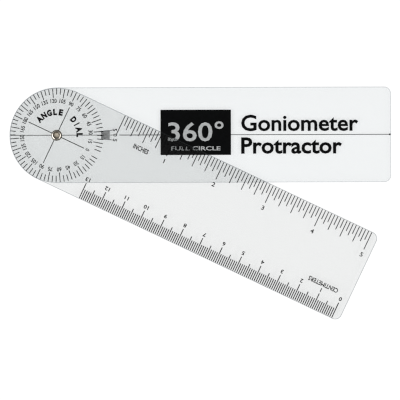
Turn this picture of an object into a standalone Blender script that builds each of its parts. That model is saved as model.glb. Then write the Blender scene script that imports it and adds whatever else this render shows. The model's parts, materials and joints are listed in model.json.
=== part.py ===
"""A flat two-arm goniometer: a clear pointer arm and a clear rule arm that turn on one rivet.

The origin is on the pivot axis, on the flat underside of the rivet's head. +X runs along the
pointer arm and +Z points at the reader, so the rule arm lies on top. Everything is in metres.
"""

import math

import bmesh
import bpy

MM = 0.001

# Both arms are cut from one sheet to one outline: a half-round head and a square end.
ARM_LENGTH = 177.6 * MM
ARM_WIDTH = 44.5 * MM
SHEET = 1.0 * MM
CORNER_RADIUS = 3.2 * MM
EDGE_ROUND = 0.3 * MM
# The pivot hole is punched a little behind the middle of the head's half circle.
HOLE_SETBACK = 0.5 * MM
HEAD_STEPS = 72
CORNER_STEPS = 10

# The rule arm's angle to the pointer arm, as the protractor on its head reads it.
REST_ANGLE = 25.5

# The stack on the rivet, from the head up: head, pointer arm, rule arm, rolled rim.
HEAD_HEIGHT = 0.6 * MM
HEAD_GAP = 0.05 * MM
ARM_GAP = 0.1 * MM
RIM_GAP = 0.05 * MM
RIM_HEIGHT = 0.65 * MM

# The rivet is semi-tubular: solid at the head, hollow at the end that is rolled over.
HEAD_RADIUS = 2.55 * MM
HEAD_FLAT_RADIUS = 1.9 * MM
HEAD_EDGE = 0.1 * MM
SHANK_RADIUS = 1.75 * MM
SHANK_CLEARANCE = 0.05 * MM
BORE_RADIUS = 1.3 * MM
BORE_DEPTH = 1.3 * MM
BORE_CONE = 0.15 * MM
CREST_RADIUS = 1.6 * MM
THROAT_DEPTH = 0.8 * MM
RIM_EQUATOR = 0.17 * MM
RIM_TUCK = 0.14 * MM
# The rim's outer side from its crest down, as arcs that run on from each other: the radius of
# each and the tilt in degrees that it ends at. The middle one is the broad flank.
RIM_ARCS = ((0.45 * MM, 16), (2.2 * MM, 26), (0.21 * MM, 90))
RIVET_STEPS = 64
HOLE_STEPS = 48
ROLL_STEPS = 8

POINTER_BOTTOM = HEAD_HEIGHT + HEAD_GAP
RULE_BOTTOM = POINTER_BOTTOM + SHEET + ARM_GAP
RIM_BOTTOM = RULE_BOTTOM + SHEET + RIM_GAP
RIM_TOP = RIM_BOTTOM + RIM_HEIGHT
WELD_DISTANCE = 0.001 * MM


def clear_scene():
    for old in list(bpy.data.objects):
        bpy.data.objects.remove(old)


def new_collection(name):
    collection = bpy.data.collections.new(name)
    bpy.context.scene.collection.children.link(collection)
    return collection


def new_material(name, colour, roughness, metallic=0.0, alpha=1.0):
    material = bpy.data.materials.new(name)
    material.use_nodes = True
    shader = material.node_tree.nodes["Principled BSDF"]
    shader.inputs["Base Color"].default_value = (*colour, 1.0)
    shader.inputs["Roughness"].default_value = roughness
    shader.inputs["Metallic"].default_value = metallic
    shader.inputs["Alpha"].default_value = alpha
    return material


def arc(centre, radii, start, end, steps):
    """Points on an ellipse's arc about centre, from start to end degrees, both ends included."""
    angles = [math.radians(start + (end - start) * i / steps) for i in range(steps + 1)]
    return [(centre[0] + radii[0] * math.cos(a), centre[1] + radii[1] * math.sin(a)) for a in angles]


def arm_outline():
    """The head's half circle, then the end's two rounded corners, seen from the pivot hole."""
    half = ARM_WIDTH / 2
    corner = (CORNER_RADIUS, CORNER_RADIUS)
    corner_x = HOLE_SETBACK + ARM_LENGTH - half - CORNER_RADIUS
    corner_y = half - CORNER_RADIUS
    outline = arc((HOLE_SETBACK, 0), (half, half), 90, 270, HEAD_STEPS)
    outline += arc((corner_x, -corner_y), corner, 270, 360, CORNER_STEPS)
    outline += arc((corner_x, corner_y), corner, 0, 90, CORNER_STEPS)
    return outline


def cut_sheet(name, outline, collection):
    """A flat sheet in the outline's shape, SHEET thick, centred on its own z = 0."""
    curve = bpy.data.curves.new(name + "_outline", "CURVE")
    curve.dimensions = "2D"
    curve.fill_mode = "BOTH"
    curve.extrude = SHEET / 2
    spline = curve.splines.new("POLY")
    spline.points.add(len(outline) - 1)
    for point, (x, y) in zip(spline.points, outline):
        point.co = (x, y, 0, 1)
    spline.use_cyclic_u = True
    guide = bpy.data.objects.new(name + "_outline", curve)
    collection.objects.link(guide)
    bpy.context.view_layer.update()
    graph = bpy.context.evaluated_depsgraph_get()
    mesh = bpy.data.meshes.new_from_object(guide.evaluated_get(graph), depsgraph=graph)
    bpy.data.objects.remove(guide)
    mesh.name = name
    shape = bmesh.new()
    shape.from_mesh(mesh)
    bmesh.ops.remove_doubles(shape, verts=shape.verts, dist=WELD_DISTANCE)
    flat = math.radians(1)
    bmesh.ops.dissolve_limit(shape, angle_limit=flat, verts=shape.verts, edges=shape.edges)
    shape.to_mesh(mesh)
    shape.free()
    arm = bpy.data.objects.new(name, mesh)
    collection.objects.link(arm)
    return arm


def make_arm(name, bottom, hole_cutter, material, collection):
    """One arm: the sheet with eased edges and the pivot hole through its head."""
    arm = cut_sheet(name, arm_outline(), collection)
    arm.location.z = bottom + SHEET / 2
    arm.data.materials.append(material)
    easing = arm.modifiers.new("eased_edges", "BEVEL")
    easing.width = EDGE_ROUND
    easing.segments = 2
    easing.limit_method = "ANGLE"
    easing.angle_limit = math.radians(40)
    hole = arm.modifiers.new("pivot_hole", "BOOLEAN")
    hole.operation = "DIFFERENCE"
    hole.solver = "EXACT"
    hole.object = hole_cutter
    return arm


def make_hole_cutter(collection):
    """The punch for the pivot hole, long enough to pass through both arms."""
    shape = bmesh.new()
    radius = SHANK_RADIUS + SHANK_CLEARANCE
    bmesh.ops.create_cone(
        shape, cap_ends=True, segments=HOLE_STEPS, radius1=radius, radius2=radius, depth=2 * RIM_TOP
    )
    mesh = bpy.data.meshes.new("pivot_hole_cutter")
    shape.to_mesh(mesh)
    shape.free()
    cutter = bpy.data.objects.new("pivot_hole_cutter", mesh)
    cutter.hide_render = True
    cutter.display_type = "WIRE"
    collection.objects.link(cutter)
    return cutter


def rolled_side(crest):
    """Points from the crest of the rim out and down its side, along RIM_ARCS."""
    points = [crest]
    tilt = 0
    for radius, end in RIM_ARCS:
        start = math.radians(tilt)
        centre = (points[-1][0] - radius * math.sin(start), points[-1][1] - radius * math.cos(start))
        points += arc(centre, (radius, radius), 90 - tilt, 90 - end, ROLL_STEPS)[1:]
        tilt = end
    return points


def rivet_profile():
    """(radius, height) from the bottom of the bore, over the rolled rim and down to the head."""
    floor = RIM_TOP - BORE_DEPTH
    throat_radii = (CREST_RADIUS - BORE_RADIUS, THROAT_DEPTH)
    rim = rolled_side((CREST_RADIUS, RIM_TOP))
    tuck_centre = (rim[-1][0] - RIM_TUCK, RIM_BOTTOM + RIM_EQUATOR)
    head_round = (HEAD_RADIUS - HEAD_FLAT_RADIUS, HEAD_HEIGHT - HEAD_EDGE)
    profile = [(0, floor - BORE_CONE), (BORE_RADIUS, floor)]
    profile += arc((CREST_RADIUS, RIM_TOP - THROAT_DEPTH), throat_radii, 180, 90, ROLL_STEPS)
    profile += rim[1:]
    profile += arc(tuck_centre, (RIM_TUCK, RIM_EQUATOR), 0, -90, ROLL_STEPS)
    profile += [(SHANK_RADIUS, RIM_BOTTOM), (SHANK_RADIUS, HEAD_HEIGHT), (HEAD_RADIUS, HEAD_HEIGHT)]
    profile += arc((HEAD_FLAT_RADIUS, HEAD_HEIGHT - HEAD_EDGE), head_round, 0, -90, ROLL_STEPS)
    profile.append((0, 0))
    return profile


def make_rivet(material, collection):
    """The rivet, turned about the pivot axis."""
    shape = bmesh.new()
    points = [shape.verts.new((radius, 0, height)) for radius, height in rivet_profile()]
    for start, end in zip(points, points[1:]):
        shape.edges.new((start, end))
    mesh = bpy.data.meshes.new("pivot_rivet")
    shape.to_mesh(mesh)
    shape.free()
    mesh.materials.append(material)
    rivet = bpy.data.objects.new("pivot_rivet", mesh)
    collection.objects.link(rivet)
    turning = rivet.modifiers.new("turned", "SCREW")
    turning.steps = RIVET_STEPS
    turning.render_steps = RIVET_STEPS
    turning.use_merge_vertices = True
    turning.merge_threshold = WELD_DISTANCE
    turning.use_smooth_shade = True
    return rivet


def make_rule_pivot(collection):
    """The empty on the pivot axis that carries the rule arm and turns it."""
    pivot = bpy.data.objects.new("rule_arm_pivot", None)
    pivot.rotation_euler.z = math.radians(-REST_ANGLE)
    pivot.empty_display_size = ARM_WIDTH / 2
    collection.objects.link(pivot)
    return pivot


def build():
    clear_scene()
    parts = new_collection("goniometer")
    cutters = new_collection("goniometer_cutters")
    cutter = make_hole_cutter(cutters)
    pointer_sheet = new_material("pointer_arm_clear", (0.93, 0.95, 0.95), 0.08, alpha=0.3)
    rule_sheet = new_material("rule_arm_clear", (0.90, 0.95, 0.95), 0.08, alpha=0.3)
    rivet_brass = new_material("rivet_brass", (0.62, 0.53, 0.38), 0.28, metallic=1.0)
    make_arm("pointer_arm", POINTER_BOTTOM, cutter, pointer_sheet, parts)
    rule_arm = make_arm("rule_arm", RULE_BOTTOM, cutter, rule_sheet, parts)
    rule_arm.parent = make_rule_pivot(parts)
    make_rivet(rivet_brass, parts)


build()
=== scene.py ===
"""The looks of the flat goniometer: clear sheet, printed ink, a brass rivet, and the studio.

The CAD nodes keep their shapes and get finished materials. Every print is a raised film of ink on
its arm's upper face, laid out in the arm's own frame: x from the pivot to the square end, y across.
"""

import json
import math

import bmesh
import bpy
from mathutils import Matrix, Vector


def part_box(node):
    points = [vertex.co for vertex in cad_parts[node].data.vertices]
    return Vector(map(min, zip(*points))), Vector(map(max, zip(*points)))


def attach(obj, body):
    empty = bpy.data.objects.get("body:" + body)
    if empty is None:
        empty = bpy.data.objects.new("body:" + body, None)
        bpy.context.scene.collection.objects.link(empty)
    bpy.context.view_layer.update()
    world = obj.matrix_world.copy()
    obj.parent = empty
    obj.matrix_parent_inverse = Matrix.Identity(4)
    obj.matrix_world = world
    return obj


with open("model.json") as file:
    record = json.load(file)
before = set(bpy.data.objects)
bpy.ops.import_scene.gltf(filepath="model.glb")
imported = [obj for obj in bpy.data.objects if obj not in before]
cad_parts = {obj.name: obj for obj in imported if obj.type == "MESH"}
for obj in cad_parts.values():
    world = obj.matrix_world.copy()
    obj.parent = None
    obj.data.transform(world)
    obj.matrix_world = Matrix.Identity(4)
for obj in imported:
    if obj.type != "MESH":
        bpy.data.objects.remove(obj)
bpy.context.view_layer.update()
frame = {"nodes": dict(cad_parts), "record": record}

MM = 0.001
INCH = 25.4 * MM

# The places that everything else is laid out from, as the CAD gives them.
pointer_low, pointer_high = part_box("pointer_arm")
RULE_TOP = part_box("rule_arm")[1].z
RIVET_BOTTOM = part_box("pivot_rivet")[0].z
RIVET_SEAT = pointer_low.z
mounts = {mount["name"]: Vector(mount["pos_m"]) for mount in frame["record"]["mounts"]}
HALF_WIDTH = (pointer_high.y - pointer_low.y) / 2
HEAD_END = pointer_low.x
ARM_END = pointer_high.x
REST_ANGLE = math.atan2(mounts["rule_arm_front"].y, mounts["rule_arm_front"].x)
rim_points = [v.co for v in frame["nodes"]["pivot_rivet"].data.vertices if v.co.z > RULE_TOP]
RIM_RADIUS = max(point.to_2d().length for point in rim_points)

# Ink. It stands a hair above the sheet, so that the two faces never share a plane.
INK_LIFT = 0.003 * MM
INK_FILM = 0.02 * MM
HAIR_WIDTH = 0.3 * MM
CROSS_WIDTH = 0.38 * MM
EDGE_MARGIN = 0.31 * MM
# How high the builtin font's capitals stand in type of size 1.
CAPITAL_PER_SIZE = 0.682

# Protractor, printed on the rule arm's head and read under the pointer arm's hairline.
PROTRACTOR_TICK = 0.38 * MM
TICK_STEP = 5
NUMBER_STEP = 15
SHORT_TICK_START = 18.95 * MM
LONG_TICK_START = 17.4 * MM
NUMBER_RADIUS = 16.0 * MM
NUMBER_SIZE = 1.8 * MM
NUMBER_SQUEEZE = 0.85
NUMBER_WEIGHT = 0.024
CROSS_END = 14.3 * MM
# Each word of the title, with the angles of its first and last letters.
TITLE_WORDS = (("ANGLE", 162.0, 104.0), ("DIAL", 67.6, 25.7))
TITLE_RADIUS = 10.8 * MM
TITLE_SIZE = 2.5 * MM
TITLE_WEIGHT = 0.065
LETTER_WIDTH = 2.3 * MM
LETTER_WIDTHS = {"A": 2.6 * MM, "E": 1.95 * MM, "I": 0.55 * MM, "L": 1.85 * MM}

# Scales along the rule arm's two edges. A tick's length goes by the largest step that it marks.
SCALE_SQUEEZE = 1.15
INCHES = 5
INCH_ZERO = 25.1 * MM
INCH_PARTS = 16
INCH_TICK = 0.39 * MM
INCH_TICK_LENGTHS = {16: 9.1 * MM, 8: 8.4 * MM, 4: 7.95 * MM, 2: 6.3 * MM, 1: 4.77 * MM}
INCH_ZERO_LENGTH = 10.2 * MM
INCH_NUMBER_DEPTH = 11.65 * MM
INCH_NUMBER_SIZE = 1.95 * MM
INCH_NUMBER_WEIGHT = 0.018
CENTIMETRES = 13
CENTIMETRE_ZERO = 152.15 * MM
CENTIMETRE_PARTS = 10
CENTIMETRE_TICK = 0.44 * MM
CENTIMETRE_TICK_LENGTHS = {10: 8.05 * MM, 5: 6.6 * MM, 1: 5.05 * MM}
CENTIMETRE_NUMBER_DEPTH = 9.85 * MM
CENTIMETRE_NUMBER_SIZE = 1.7 * MM
CENTIMETRE_NUMBER_WEIGHT = 0.026

# A line of lettering is a text, the height of its capitals, its centre, its width and its weight.
INCH_LABEL = (("INCHES", 2.1 * MM, (38.35 * MM, 11.0 * MM), 7.5 * MM, 0.028),)
CENTIMETRE_LABEL = (
    ("CENTIMETERS", 2.0 * MM, (142.0 * MM, 12.65 * MM - HALF_WIDTH), 15.0 * MM, 0.024),
)


def arm_frame(top, turn):
    """The plane that an arm's ink lies on: at the arm's upper face, turned with the arm."""
    return Matrix.Translation((0, 0, top + INK_LIFT)) @ Matrix.Rotation(turn, 4, "Z")


ARMS = {
    "pointer": arm_frame(pointer_high.z, 0),
    "rule": arm_frame(RULE_TOP, REST_ANGLE),
}


# Ink shapes


def polar(radius, degrees):
    angle = math.radians(degrees)
    return Vector((radius * math.cos(angle), radius * math.sin(angle)))


def add_bar(ink, start, end, width):
    """A straight stroke of ink from start to end."""
    start, end = Vector(start).to_2d(), Vector(end).to_2d()
    along = end - start
    size = Matrix.Diagonal((along.length, width, INK_FILM, 1))
    turn = Matrix.Rotation(math.atan2(along.y, along.x), 4, "Z")
    middle = (start + end) / 2
    place = Matrix.Translation((middle.x, middle.y, INK_FILM / 2))
    bmesh.ops.create_cube(ink, size=1, matrix=place @ turn @ size)


def text_mesh(text, weight):
    """A line of text as a closed mesh, in type of size 1, with its strokes fattened by weight."""
    font = bpy.data.curves.new("lettering", "FONT")
    font.body = text
    font.extrude = 0.5
    font.bevel_depth = weight
    font.bevel_resolution = 0
    font.resolution_u = 3
    line = bpy.data.objects.new("lettering", font)
    bpy.context.scene.collection.objects.link(line)
    bpy.context.view_layer.update()
    graph = bpy.context.evaluated_depsgraph_get()
    mesh = bpy.data.meshes.new_from_object(line.evaluated_get(graph), depsgraph=graph)
    bpy.data.objects.remove(line)
    bpy.data.curves.remove(font)
    return mesh


def add_text(ink, text, height, centre, turn=0, width=None, squeeze=1.0, weight=0.0):
    """A line of text centred on a point, with capitals of that height, fitted to width if given."""
    mesh = text_mesh(text, weight)
    xs = [v.co.x for v in mesh.vertices]
    scale = height / CAPITAL_PER_SIZE
    wide = scale * squeeze if width is None else width / (max(xs) - min(xs))
    middle = Vector(((max(xs) + min(xs)) / 2, CAPITAL_PER_SIZE / 2, -0.5))
    size = Matrix.Diagonal((wide, scale, INK_FILM, 1))
    place = Matrix.Translation((*centre, 0)) @ Matrix.Rotation(math.radians(turn), 4, "Z")
    mesh.transform(place @ size @ Matrix.Translation(-middle))
    glyphs = bmesh.new()
    glyphs.from_mesh(mesh)
    bmesh.ops.remove_doubles(glyphs, verts=glyphs.verts, dist=INK_FILM / 20)
    glyphs.to_mesh(mesh)
    glyphs.free()
    ink.from_mesh(mesh)
    bpy.data.meshes.remove(mesh)


def add_lines(ink, lines, turn=0):
    """Every line of lettering in a list of them."""
    for text, height, centre, width, weight in lines:
        add_text(ink, text, height, centre, turn, width=width, weight=weight)


def print_on(arm, name, ink, colour="black_ink"):
    """Makes a piece of the gathered ink, which rides on its arm."""
    mesh = bpy.data.meshes.new(name)
    ink.to_mesh(mesh)
    ink.free()
    mesh.transform(ARMS[arm])
    mesh.materials.append(INKS[colour])
    piece = bpy.data.objects.new(name, mesh)
    bpy.context.scene.collection.objects.link(piece)
    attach(piece, arm)


# Materials

# How much a sheet's face mirrors head on, how much more at a grazing angle, and how it gets there.
MIRROR_FACING = 0.03
MIRROR_GRAZING = 0.96
MIRROR_POWER = 5.0
# Flat faces, eased edges and cuts are told apart by how far up or down they face.
FACE_FLATNESS = 0.97
CUT_FLATNESS = 0.2
EASED_BODY_SHARE = 0.06
CUT_BODY_SHARE = 0.25

# Brass. Its patches shift the painted light and shade and polish it a little.
BRASS_ROUGHNESS = 0.34
PATCH_POLISH = 0.2
PATCH_SHIFT = 0.08
BORE_FLOOR_SHARE = 0.62
BORE_FLOOR_DULLNESS = 0.35


def new_material(name):
    """An empty node material, with its tree and its output node."""
    material = bpy.data.materials.new(name)
    material.use_nodes = True
    nodes = material.node_tree.nodes
    nodes.clear()
    return material, nodes, material.node_tree.links, nodes.new("ShaderNodeOutputMaterial")


def math_node(nodes, links, operation, first, second=None):
    node = nodes.new("ShaderNodeMath")
    node.operation = operation
    for socket, value in zip(node.inputs, (first, second)):
        if isinstance(value, (int, float)):
            socket.default_value = value
        elif value is not None:
            links.new(value, socket)
    return node.outputs[0]


def noise(nodes, links, scale, detail=3.0, vector=None):
    node = nodes.new("ShaderNodeTexNoise")
    node.inputs["Scale"].default_value = scale
    node.inputs["Detail"].default_value = detail
    if vector is None:
        vector = nodes.new("ShaderNodeTexCoord").outputs["Object"]
    links.new(vector, node.inputs["Vector"])
    return node.outputs["Fac"]


def bump(nodes, links, height, strength, distance):
    node = nodes.new("ShaderNodeBump")
    node.inputs["Strength"].default_value = strength
    node.inputs["Distance"].default_value = distance
    links.new(height, node.inputs["Height"])
    return node.outputs["Normal"]


def colour_ramp(nodes, links, value, stops):
    """A ramp of (position, colour) stops, driven by value."""
    node = nodes.new("ShaderNodeValToRGB")
    elements = node.color_ramp.elements
    for _ in stops[2:]:
        elements.new(0.5)
    for element, (position, colour) in zip(elements, stops):
        element.position = position
        element.color = (*colour, 1)
    links.new(value, node.inputs["Fac"])
    return node.outputs["Color"]


def mix_shader(nodes, links, share, first, second):
    node = nodes.new("ShaderNodeMixShader")
    if isinstance(share, (int, float)):
        node.inputs[0].default_value = share
    else:
        links.new(share, node.inputs[0])
    links.new(first, node.inputs[1])
    links.new(second, node.inputs[2])
    return node.outputs[0]


def clear_sheet_material(name, tint, edge_painted_shade):
    """Clear vinyl sheet: see-through faces that mirror a little, eased edges darkened with painted
    shade, greyer cuts.
    """
    material, nodes, links, output = new_material(name)
    seen = nodes.new("ShaderNodeBsdfTransparent")
    seen.inputs["Color"].default_value = (*tint, 1)
    gloss = nodes.new("ShaderNodeBsdfGlossy")
    gloss.inputs["Roughness"].default_value = 0.04
    waviness = noise(nodes, links, 45.0)
    links.new(bump(nodes, links, waviness, 0.15, 0.0004), gloss.inputs["Normal"])
    facing = nodes.new("ShaderNodeLayerWeight").outputs["Facing"]
    grazing = math_node(nodes, links, "POWER", facing, MIRROR_POWER)
    mirror = math_node(nodes, links, "MULTIPLY", grazing, MIRROR_GRAZING)
    mirror = math_node(nodes, links, "ADD", mirror, MIRROR_FACING)
    face = mix_shader(nodes, links, mirror, seen.outputs[0], gloss.outputs[0])

    body = nodes.new("ShaderNodeBsdfPrincipled")
    body.inputs["Base Color"].default_value = (0.42, 0.47, 0.48, 1)
    body.inputs["Roughness"].default_value = 0.35
    eased = nodes.new("ShaderNodeBsdfTransparent")
    # The eased edges' tint is painted shade: the dark line that a rounded clear edge shows by
    # refraction.
    eased.inputs["Color"].default_value = (*edge_painted_shade, 1)
    cut = nodes.new("ShaderNodeBsdfTransparent")
    cut.inputs["Color"].default_value = (0.86, 0.90, 0.90, 1)
    eased = mix_shader(nodes, links, EASED_BODY_SHARE, eased.outputs[0], body.outputs[0])
    cut = mix_shader(nodes, links, CUT_BODY_SHARE, cut.outputs[0], body.outputs[0])

    normal = nodes.new("ShaderNodeSeparateXYZ")
    links.new(nodes.new("ShaderNodeNewGeometry").outputs["True Normal"], normal.inputs[0])
    flatness = math_node(nodes, links, "ABSOLUTE", normal.outputs["Z"])
    is_cut = math_node(nodes, links, "LESS_THAN", flatness, CUT_FLATNESS)
    edge = mix_shader(nodes, links, is_cut, eased, cut)
    is_edge = math_node(nodes, links, "LESS_THAN", flatness, FACE_FLATNESS)
    links.new(mix_shader(nodes, links, is_edge, face, edge), output.inputs["Surface"])
    return material


def ink_material(name, thin, thick):
    """Screen-printed ink: dense, satin, with a faint unevenness in its film."""
    material, nodes, links, output = new_material(name)
    shader = nodes.new("ShaderNodeBsdfPrincipled")
    patches = noise(nodes, links, 900.0)
    density = colour_ramp(nodes, links, patches, ((0.3, thin), (0.7, thick)))
    links.new(density, shader.inputs["Base Color"])
    shader.inputs["Roughness"].default_value = 0.2
    shader.inputs["Specular IOR Level"].default_value = 0.25
    grain = noise(nodes, links, 6000.0)
    links.new(bump(nodes, links, grain, 0.1, 0.00001), shader.inputs["Normal"])
    links.new(shader.outputs[0], output.inputs["Surface"])
    return material


def brass_material():
    """Pale brass, with painted light and shade on its top: a painted highlight where it is rolled
    over, painted shade down the bore, and painted light on the bore's floor, which is also dull.

    The painted light and shade go by the distance from the axis, as a share of the rim's radius.
    """
    material, nodes, links, output = new_material("rivet_brass")
    shader = nodes.new("ShaderNodeBsdfPrincipled")
    shader.inputs["Metallic"].default_value = 1.0
    place = nodes.new("ShaderNodeTexCoord").outputs["Object"]
    patches = noise(nodes, links, 700.0, 4.0, place)
    plain = colour_ramp(nodes, links, patches, ((0.3, (0.46, 0.39, 0.29)), (0.65, (0.74, 0.68, 0.58))))

    axes = nodes.new("ShaderNodeSeparateXYZ")
    links.new(place, axes.inputs[0])
    across = math_node(nodes, links, "POWER", axes.outputs["X"], 2.0)
    along = math_node(nodes, links, "POWER", axes.outputs["Y"], 2.0)
    radius = math_node(nodes, links, "SQRT", math_node(nodes, links, "ADD", across, along))
    radius = math_node(nodes, links, "DIVIDE", radius, RIM_RADIUS)
    shift = math_node(nodes, links, "MULTIPLY", patches, PATCH_SHIFT)
    radius = math_node(nodes, links, "ADD", radius, shift)
    # Painted light and shade by radius: painted light on the bore's floor, painted shade down the
    # bore, a painted highlight on the rolled crest.
    painted_light_and_shade = colour_ramp(nodes, links, radius, (
        (0.50, (0.92, 0.84, 0.70)),
        (0.60, (0.17, 0.14, 0.09)),
        (0.72, (0.22, 0.18, 0.13)),
        (0.80, (0.88, 0.84, 0.78)),
        (0.98, (0.60, 0.54, 0.45)),
    ))
    is_top = math_node(nodes, links, "GREATER_THAN", axes.outputs["Z"], RIVET_SEAT)
    colour = nodes.new("ShaderNodeMix")
    colour.data_type = "RGBA"
    links.new(is_top, colour.inputs["Factor"])
    links.new(plain, colour.inputs["A"])
    links.new(painted_light_and_shade, colour.inputs["B"])
    links.new(colour.outputs["Result"], shader.inputs["Base Color"])

    is_deep = math_node(nodes, links, "LESS_THAN", radius, BORE_FLOOR_SHARE)
    is_deep = math_node(nodes, links, "MULTIPLY", is_deep, is_top)
    roughness = math_node(nodes, links, "MULTIPLY", patches, -PATCH_POLISH)
    roughness = math_node(nodes, links, "ADD", roughness, BRASS_ROUGHNESS)
    dullness = math_node(nodes, links, "MULTIPLY", is_deep, BORE_FLOOR_DULLNESS)
    links.new(math_node(nodes, links, "ADD", roughness, dullness), shader.inputs["Roughness"])
    grain = noise(nodes, links, 9000.0)
    links.new(bump(nodes, links, grain, 0.25, 0.00002), shader.inputs["Normal"])
    links.new(shader.outputs[0], output.inputs["Surface"])
    return material


def shade_smooth(node, angle):
    """Smooth shading over a round CAD node, broken where its faces meet more sharply than angle."""
    tree = bpy.data.node_groups.new("smooth_by_angle", "GeometryNodeTree")
    tree.interface.new_socket("Geometry", in_out="INPUT", socket_type="NodeSocketGeometry")
    tree.interface.new_socket("Geometry", in_out="OUTPUT", socket_type="NodeSocketGeometry")
    nodes, links = tree.nodes, tree.links
    faces = nodes.new("GeometryNodeSetShadeSmooth")
    edges = nodes.new("GeometryNodeSetShadeSmooth")
    edges.domain = "EDGE"
    edges.inputs["Shade Smooth"].default_value = False
    bend = nodes.new("GeometryNodeInputMeshEdgeAngle").outputs["Unsigned Angle"]
    is_sharp = math_node(nodes, links, "GREATER_THAN", bend, math.radians(angle))
    links.new(is_sharp, edges.inputs["Selection"])
    links.new(nodes.new("NodeGroupInput").outputs[0], faces.inputs["Geometry"])
    links.new(faces.outputs[0], edges.inputs["Geometry"])
    links.new(edges.outputs[0], nodes.new("NodeGroupOutput").inputs[0])
    frame["nodes"][node].modifiers.new("smooth_by_angle", "NODES").node_group = tree


def assign(node, material):
    """Gives a CAD node its finished material."""
    obj = frame["nodes"][node]
    for slot in obj.material_slots:
        slot.link = "OBJECT"
        slot.material = material


INKS = {
    "black_ink": ink_material(
        "black_ink", thin=(0.0015, 0.0018, 0.002), thick=(0.0035, 0.004, 0.0045)
    ),
    "pale_ink": ink_material("pale_ink", thin=(0.66, 0.68, 0.68), thick=(0.82, 0.84, 0.84)),
}
# The eased-edge tints are painted shade; the rule arm's is darker, a painted shadow of its edge on the
# pointer arm below.
pointer_sheet = clear_sheet_material(
    "clear_sheet_pointer", tint=(0.943, 0.951, 0.953), edge_painted_shade=(0.79, 0.80, 0.81)
)
rule_sheet = clear_sheet_material(
    "clear_sheet_rule", tint=(0.931, 0.935, 0.934), edge_painted_shade=(0.71, 0.72, 0.73)
)
assign("pointer_arm", pointer_sheet)
assign("rule_arm", rule_sheet)
assign("pivot_rivet", brass_material())
shade_smooth("pivot_rivet", angle=35)


# Prints on the pointer arm

PANEL_LEFT = 48.45 * MM
PANEL_RIGHT = 81.3 * MM
PANEL_BOTTOM = -9.4 * MM
PANEL_TOP = 11.7 * MM
PANEL_LINES = (
    ("360°", 8.4 * MM, (64.9 * MM, 1.4 * MM), 26.0 * MM, 0.012),
    ("FULL CIRCLE", 1.8 * MM, (64.9 * MM, -6.3 * MM), 23.0 * MM, 0.02),
)
LABEL_LINES = (
    ("Goniometer", 7.1 * MM, (113.3 * MM, 5.45 * MM), 54.6 * MM, 0.022),
    ("Protractor", 7.1 * MM, (109.5 * MM, -5.05 * MM), 47.0 * MM, 0.026),
)
INDEX_TICK = 0.28 * MM
INDEX_REACH = 5
INDEX_START = 20.8 * MM
INDEX_END = 24.9 * MM
INDEX_LONG_END = 26.2 * MM
INDEX_NUMBER_RADIUS = 27.35 * MM
INDEX_NUMBER_SIZE = 1.75 * MM
INDEX_NUMBER_WEIGHT = 0.025
HAIR_RESTART = 29.3 * MM
HAIR_FOOT = 0.9 * MM
HAIR_FOOT_WIDTH = 0.75 * MM


def print_hairline():
    """The line that readings are taken under: broken by the rivet, a number and the panel."""
    ink = bmesh.new()
    stretches = (
        (HEAD_END + EDGE_MARGIN, -RIM_RADIUS, HAIR_WIDTH),
        (RIM_RADIUS, INDEX_LONG_END, HAIR_WIDTH),
        (HAIR_RESTART, PANEL_LEFT, CROSS_WIDTH),
        (PANEL_RIGHT, ARM_END - HAIR_FOOT, HAIR_WIDTH),
        (ARM_END - HAIR_FOOT, ARM_END - EDGE_MARGIN / 2, HAIR_FOOT_WIDTH),
    )
    for start, end, width in stretches:
        add_bar(ink, (start, 0), (end, 0), width)
    print_on("pointer", "hairline", ink)


def print_index():
    """The fine degree marks on both sides of the hairline, with their numbers."""
    marks = bmesh.new()
    numbers = bmesh.new()
    for degree in range(-INDEX_REACH, INDEX_REACH + 1):
        if degree == 0:
            continue
        end = INDEX_LONG_END if abs(degree) == INDEX_REACH else INDEX_END
        add_bar(marks, polar(INDEX_START, degree), polar(end, degree), INDEX_TICK)
    for degree in (-INDEX_REACH, 0, INDEX_REACH):
        reading = str(abs(degree))
        centre = polar(INDEX_NUMBER_RADIUS, degree)
        style = {"turn": degree - 90, "weight": INDEX_NUMBER_WEIGHT}
        add_text(numbers, reading, INDEX_NUMBER_SIZE, centre, **style)
    print_on("pointer", "index_marks", marks)
    print_on("pointer", "index_numbers", numbers)


def print_panel():
    """The solid ink panel, with its lettering in pale ink over it."""
    ink = bmesh.new()
    middle = (PANEL_TOP + PANEL_BOTTOM) / 2
    add_bar(ink, (PANEL_LEFT, middle), (PANEL_RIGHT, middle), PANEL_TOP - PANEL_BOTTOM)
    print_on("pointer", "panel", ink)
    letters = bmesh.new()
    add_lines(letters, PANEL_LINES)
    letters.transform(Matrix.Translation((0, 0, INK_FILM)))
    print_on("pointer", "panel_lettering", letters, "pale_ink")


def print_label():
    """The two lines of large lettering beside the panel."""
    ink = bmesh.new()
    add_lines(ink, LABEL_LINES)
    print_on("pointer", "label", ink)


# Prints on the rule arm


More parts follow.
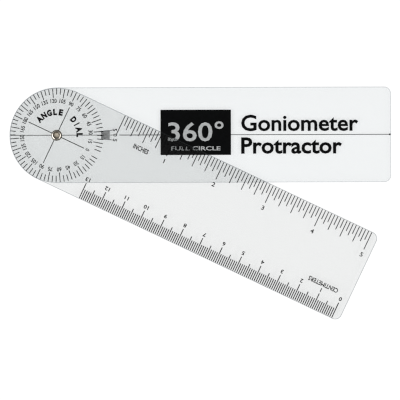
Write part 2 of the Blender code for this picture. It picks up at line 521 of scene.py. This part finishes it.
def print_protractor():
    """A full circle of ticks and numbers, and the lines that cross at the rivet.

    The ticks end at an even margin from the edge, which lies nearer behind the pivot than beside it.
    """
    ticks = bmesh.new()
    numbers = bmesh.new()
    cross = bmesh.new()
    side_end = HALF_WIDTH - EDGE_MARGIN
    setback = HALF_WIDTH + HEAD_END
    for degree in range(TICK_STEP, 360, TICK_STEP):
        if degree == 180:
            continue
        start = LONG_TICK_START if degree % NUMBER_STEP == 0 else SHORT_TICK_START
        end = side_end + setback * min(0, math.cos(math.radians(degree)))
        add_bar(ticks, polar(start, degree), polar(end, degree), PROTRACTOR_TICK)
    style = {"squeeze": NUMBER_SQUEEZE, "weight": NUMBER_WEIGHT}
    for degree in range(0, 360, NUMBER_STEP):
        reading = str(min(degree, 360 - degree))
        centre = polar(NUMBER_RADIUS, degree)
        add_text(numbers, reading, NUMBER_SIZE, centre, degree - 90, **style)
    for degree in range(0, 360, 90):
        add_bar(cross, polar(RIM_RADIUS, degree), polar(CROSS_END, degree), CROSS_WIDTH)
    add_bar(cross, polar(LONG_TICK_START, 180), polar(side_end - setback, 180), CROSS_WIDTH)
    print_on("rule", "protractor_ticks", ticks)
    print_on("rule", "protractor_numbers", numbers)
    print_on("rule", "protractor_cross_lines", cross)


def print_title():
    """The two curved words round the rivet, one letter at a time, with their feet towards it."""
    ink = bmesh.new()
    for word, first, last in TITLE_WORDS:
        for i, letter in enumerate(word):
            angle = first + (last - first) * i / (len(word) - 1)
            centre = polar(TITLE_RADIUS, angle)
            width = LETTER_WIDTHS.get(letter, LETTER_WIDTH)
            add_text(ink, letter, TITLE_SIZE, centre, angle - 90, width, weight=TITLE_WEIGHT)
    print_on("rule", "protractor_title", ink)


def scale_tick(ink, x, side, length, width):
    """A tick that runs in from the arm's upper (side 1) or lower (side -1) edge."""
    edge = side * (HALF_WIDTH - EDGE_MARGIN)
    add_bar(ink, (x, edge), (x, side * (HALF_WIDTH - length)), width)


def tick_length(lengths, i):
    """The length of a scale's tick i, from lengths that are listed by step, largest step first."""
    return next(length for step, length in lengths.items() if i % step == 0)


def print_inch_scale():
    """Inches in sixteenths from the head, on the upper edge."""
    ticks = bmesh.new()
    numbers = bmesh.new()
    label = bmesh.new()
    for i in range(INCHES * INCH_PARTS + 1):
        length = INCH_ZERO_LENGTH if i == 0 else tick_length(INCH_TICK_LENGTHS, i)
        scale_tick(ticks, INCH_ZERO + i * INCH / INCH_PARTS, 1, length, INCH_TICK)
    style = {"squeeze": SCALE_SQUEEZE, "weight": INCH_NUMBER_WEIGHT}
    for i in range(1, INCHES + 1):
        centre = (INCH_ZERO + i * INCH, HALF_WIDTH - INCH_NUMBER_DEPTH)
        add_text(numbers, str(i), INCH_NUMBER_SIZE, centre, **style)
    add_lines(label, INCH_LABEL)
    print_on("rule", "inch_ticks", ticks)
    print_on("rule", "inch_numbers", numbers)
    print_on("rule", "inch_label", label)


def print_centimetre_scale():
    """Centimetres in millimetres from the square end, on the lower edge and upside down."""
    ticks = bmesh.new()
    numbers = bmesh.new()
    label = bmesh.new()
    for i in range(CENTIMETRES * CENTIMETRE_PARTS + 1):
        length = tick_length(CENTIMETRE_TICK_LENGTHS, i)
        scale_tick(ticks, CENTIMETRE_ZERO - i * MM, -1, length, CENTIMETRE_TICK)
    style = {"squeeze": SCALE_SQUEEZE, "weight": CENTIMETRE_NUMBER_WEIGHT}
    for i in range(CENTIMETRES + 1):
        centre = (CENTIMETRE_ZERO - i * CENTIMETRE_PARTS * MM, CENTIMETRE_NUMBER_DEPTH - HALF_WIDTH)
        add_text(numbers, str(i), CENTIMETRE_NUMBER_SIZE, centre, 180, **style)
    add_lines(label, CENTIMETRE_LABEL, turn=180)
    print_on("rule", "centimetre_ticks", ticks)
    print_on("rule", "centimetre_numbers", numbers)
    print_on("rule", "centimetre_label", label)


print_hairline()
print_index()
print_panel()
print_label()
print_protractor()
print_title()
print_inch_scale()
print_centimetre_scale()


# Studio

FLOOR_GAP = 0.05 * MM
FLOOR_SIZE = 8.0
FLOOR_GREY = 0.45
FLOOR_GLOW = 0.803
SOFTBOX_DISTANCE = 3.0
SOFTBOX_WIDTH = 3.0
SOFTBOX_HEIGHT = 0.6
TENT_LOBES = 1.5
TENT_BASE = 0.12
CAMERA_HEIGHT = 1.2
CLIP_END = 20
SENSOR = 36.0
VIEW_WIDTH = 186.2 * MM
VIEW_CENTRE = (66.77 * MM, -30.37 * MM)
VIEW_ROLL = 0.16


def make_floor():
    """A light table: its pale top glows evenly, so that clear sheet and print stand out cleanly."""
    bpy.ops.mesh.primitive_plane_add(size=FLOOR_SIZE, location=(0, 0, RIVET_BOTTOM - FLOOR_GAP))
    floor = bpy.context.object
    floor.name = "floor"
    material, nodes, links, output = new_material("floor_white")
    shader = nodes.new("ShaderNodeBsdfDiffuse")
    shader.inputs["Color"].default_value = (FLOOR_GREY, FLOOR_GREY, FLOOR_GREY, 1)
    glow = nodes.new("ShaderNodeEmission")
    glow.inputs["Strength"].default_value = FLOOR_GLOW
    lit = nodes.new("ShaderNodeAddShader")
    links.new(shader.outputs[0], lit.inputs[0])
    links.new(glow.outputs[0], lit.inputs[1])
    links.new(lit.outputs[0], output.inputs["Surface"])
    floor.data.materials.append(material)


def add_softbox(name, azimuth, elevation, power):
    """A wide area light that faces the object from an azimuth, counted from +X, and an elevation."""
    light = bpy.data.lights.new(name, "AREA")
    light.shape = "RECTANGLE"
    light.size = SOFTBOX_WIDTH
    light.size_y = SOFTBOX_HEIGHT
    light.energy = power
    lamp = bpy.data.objects.new(name, light)
    a, e = math.radians(azimuth), math.radians(elevation)
    away = Vector((math.cos(a) * math.cos(e), math.sin(a) * math.cos(e), math.sin(e)))
    lamp.location = Vector((*VIEW_CENTRE, 0)) + SOFTBOX_DISTANCE * away
    lamp.rotation_euler = away.to_track_quat("Z", "Y").to_euler()
    bpy.context.scene.collection.objects.link(lamp)


def make_world():
    """A light tent: two soft lobes of light half-way up on the left and right, dim elsewhere."""
    world = bpy.data.worlds.new("studio")
    world.use_nodes = True
    nodes, links = world.node_tree.nodes, world.node_tree.links
    direction = nodes.new("ShaderNodeSeparateXYZ")
    links.new(nodes.new("ShaderNodeTexCoord").outputs["Generated"], direction.inputs[0])
    lobe = math_node(nodes, links, "MULTIPLY", direction.outputs["X"], direction.outputs["Z"])
    lobe = math_node(nodes, links, "POWER", lobe, 2.0)
    lobe = math_node(nodes, links, "MULTIPLY", lobe, TENT_LOBES)
    light = math_node(nodes, links, "ADD", lobe, TENT_BASE)
    nodes["Background"].inputs["Color"].default_value = (1, 1, 1, 1)
    links.new(light, nodes["Background"].inputs["Strength"])
    bpy.context.scene.world = world


def make_camera():
    """Straight above the arms, from far enough off that they look flat."""
    camera = bpy.data.cameras.new("camera")
    camera.sensor_width = SENSOR
    camera.lens = SENSOR * CAMERA_HEIGHT / VIEW_WIDTH
    camera.clip_end = CLIP_END
    holder = bpy.data.objects.new("camera", camera)
    holder.location = (*VIEW_CENTRE, CAMERA_HEIGHT + RULE_TOP)
    holder.rotation_euler.z = math.radians(-VIEW_ROLL)
    bpy.context.scene.collection.objects.link(holder)
    bpy.context.scene.camera = holder


make_floor()
make_world()
add_softbox("key", azimuth=200, elevation=48, power=26)
add_softbox("fill", azimuth=-24, elevation=48, power=20)
make_camera()
bpy.context.scene.view_settings.view_transform = "Standard"
bpy.context.scene.cycles.transparent_max_bounces = 32
bpy.context.scene.cycles.filter_width = 1.3
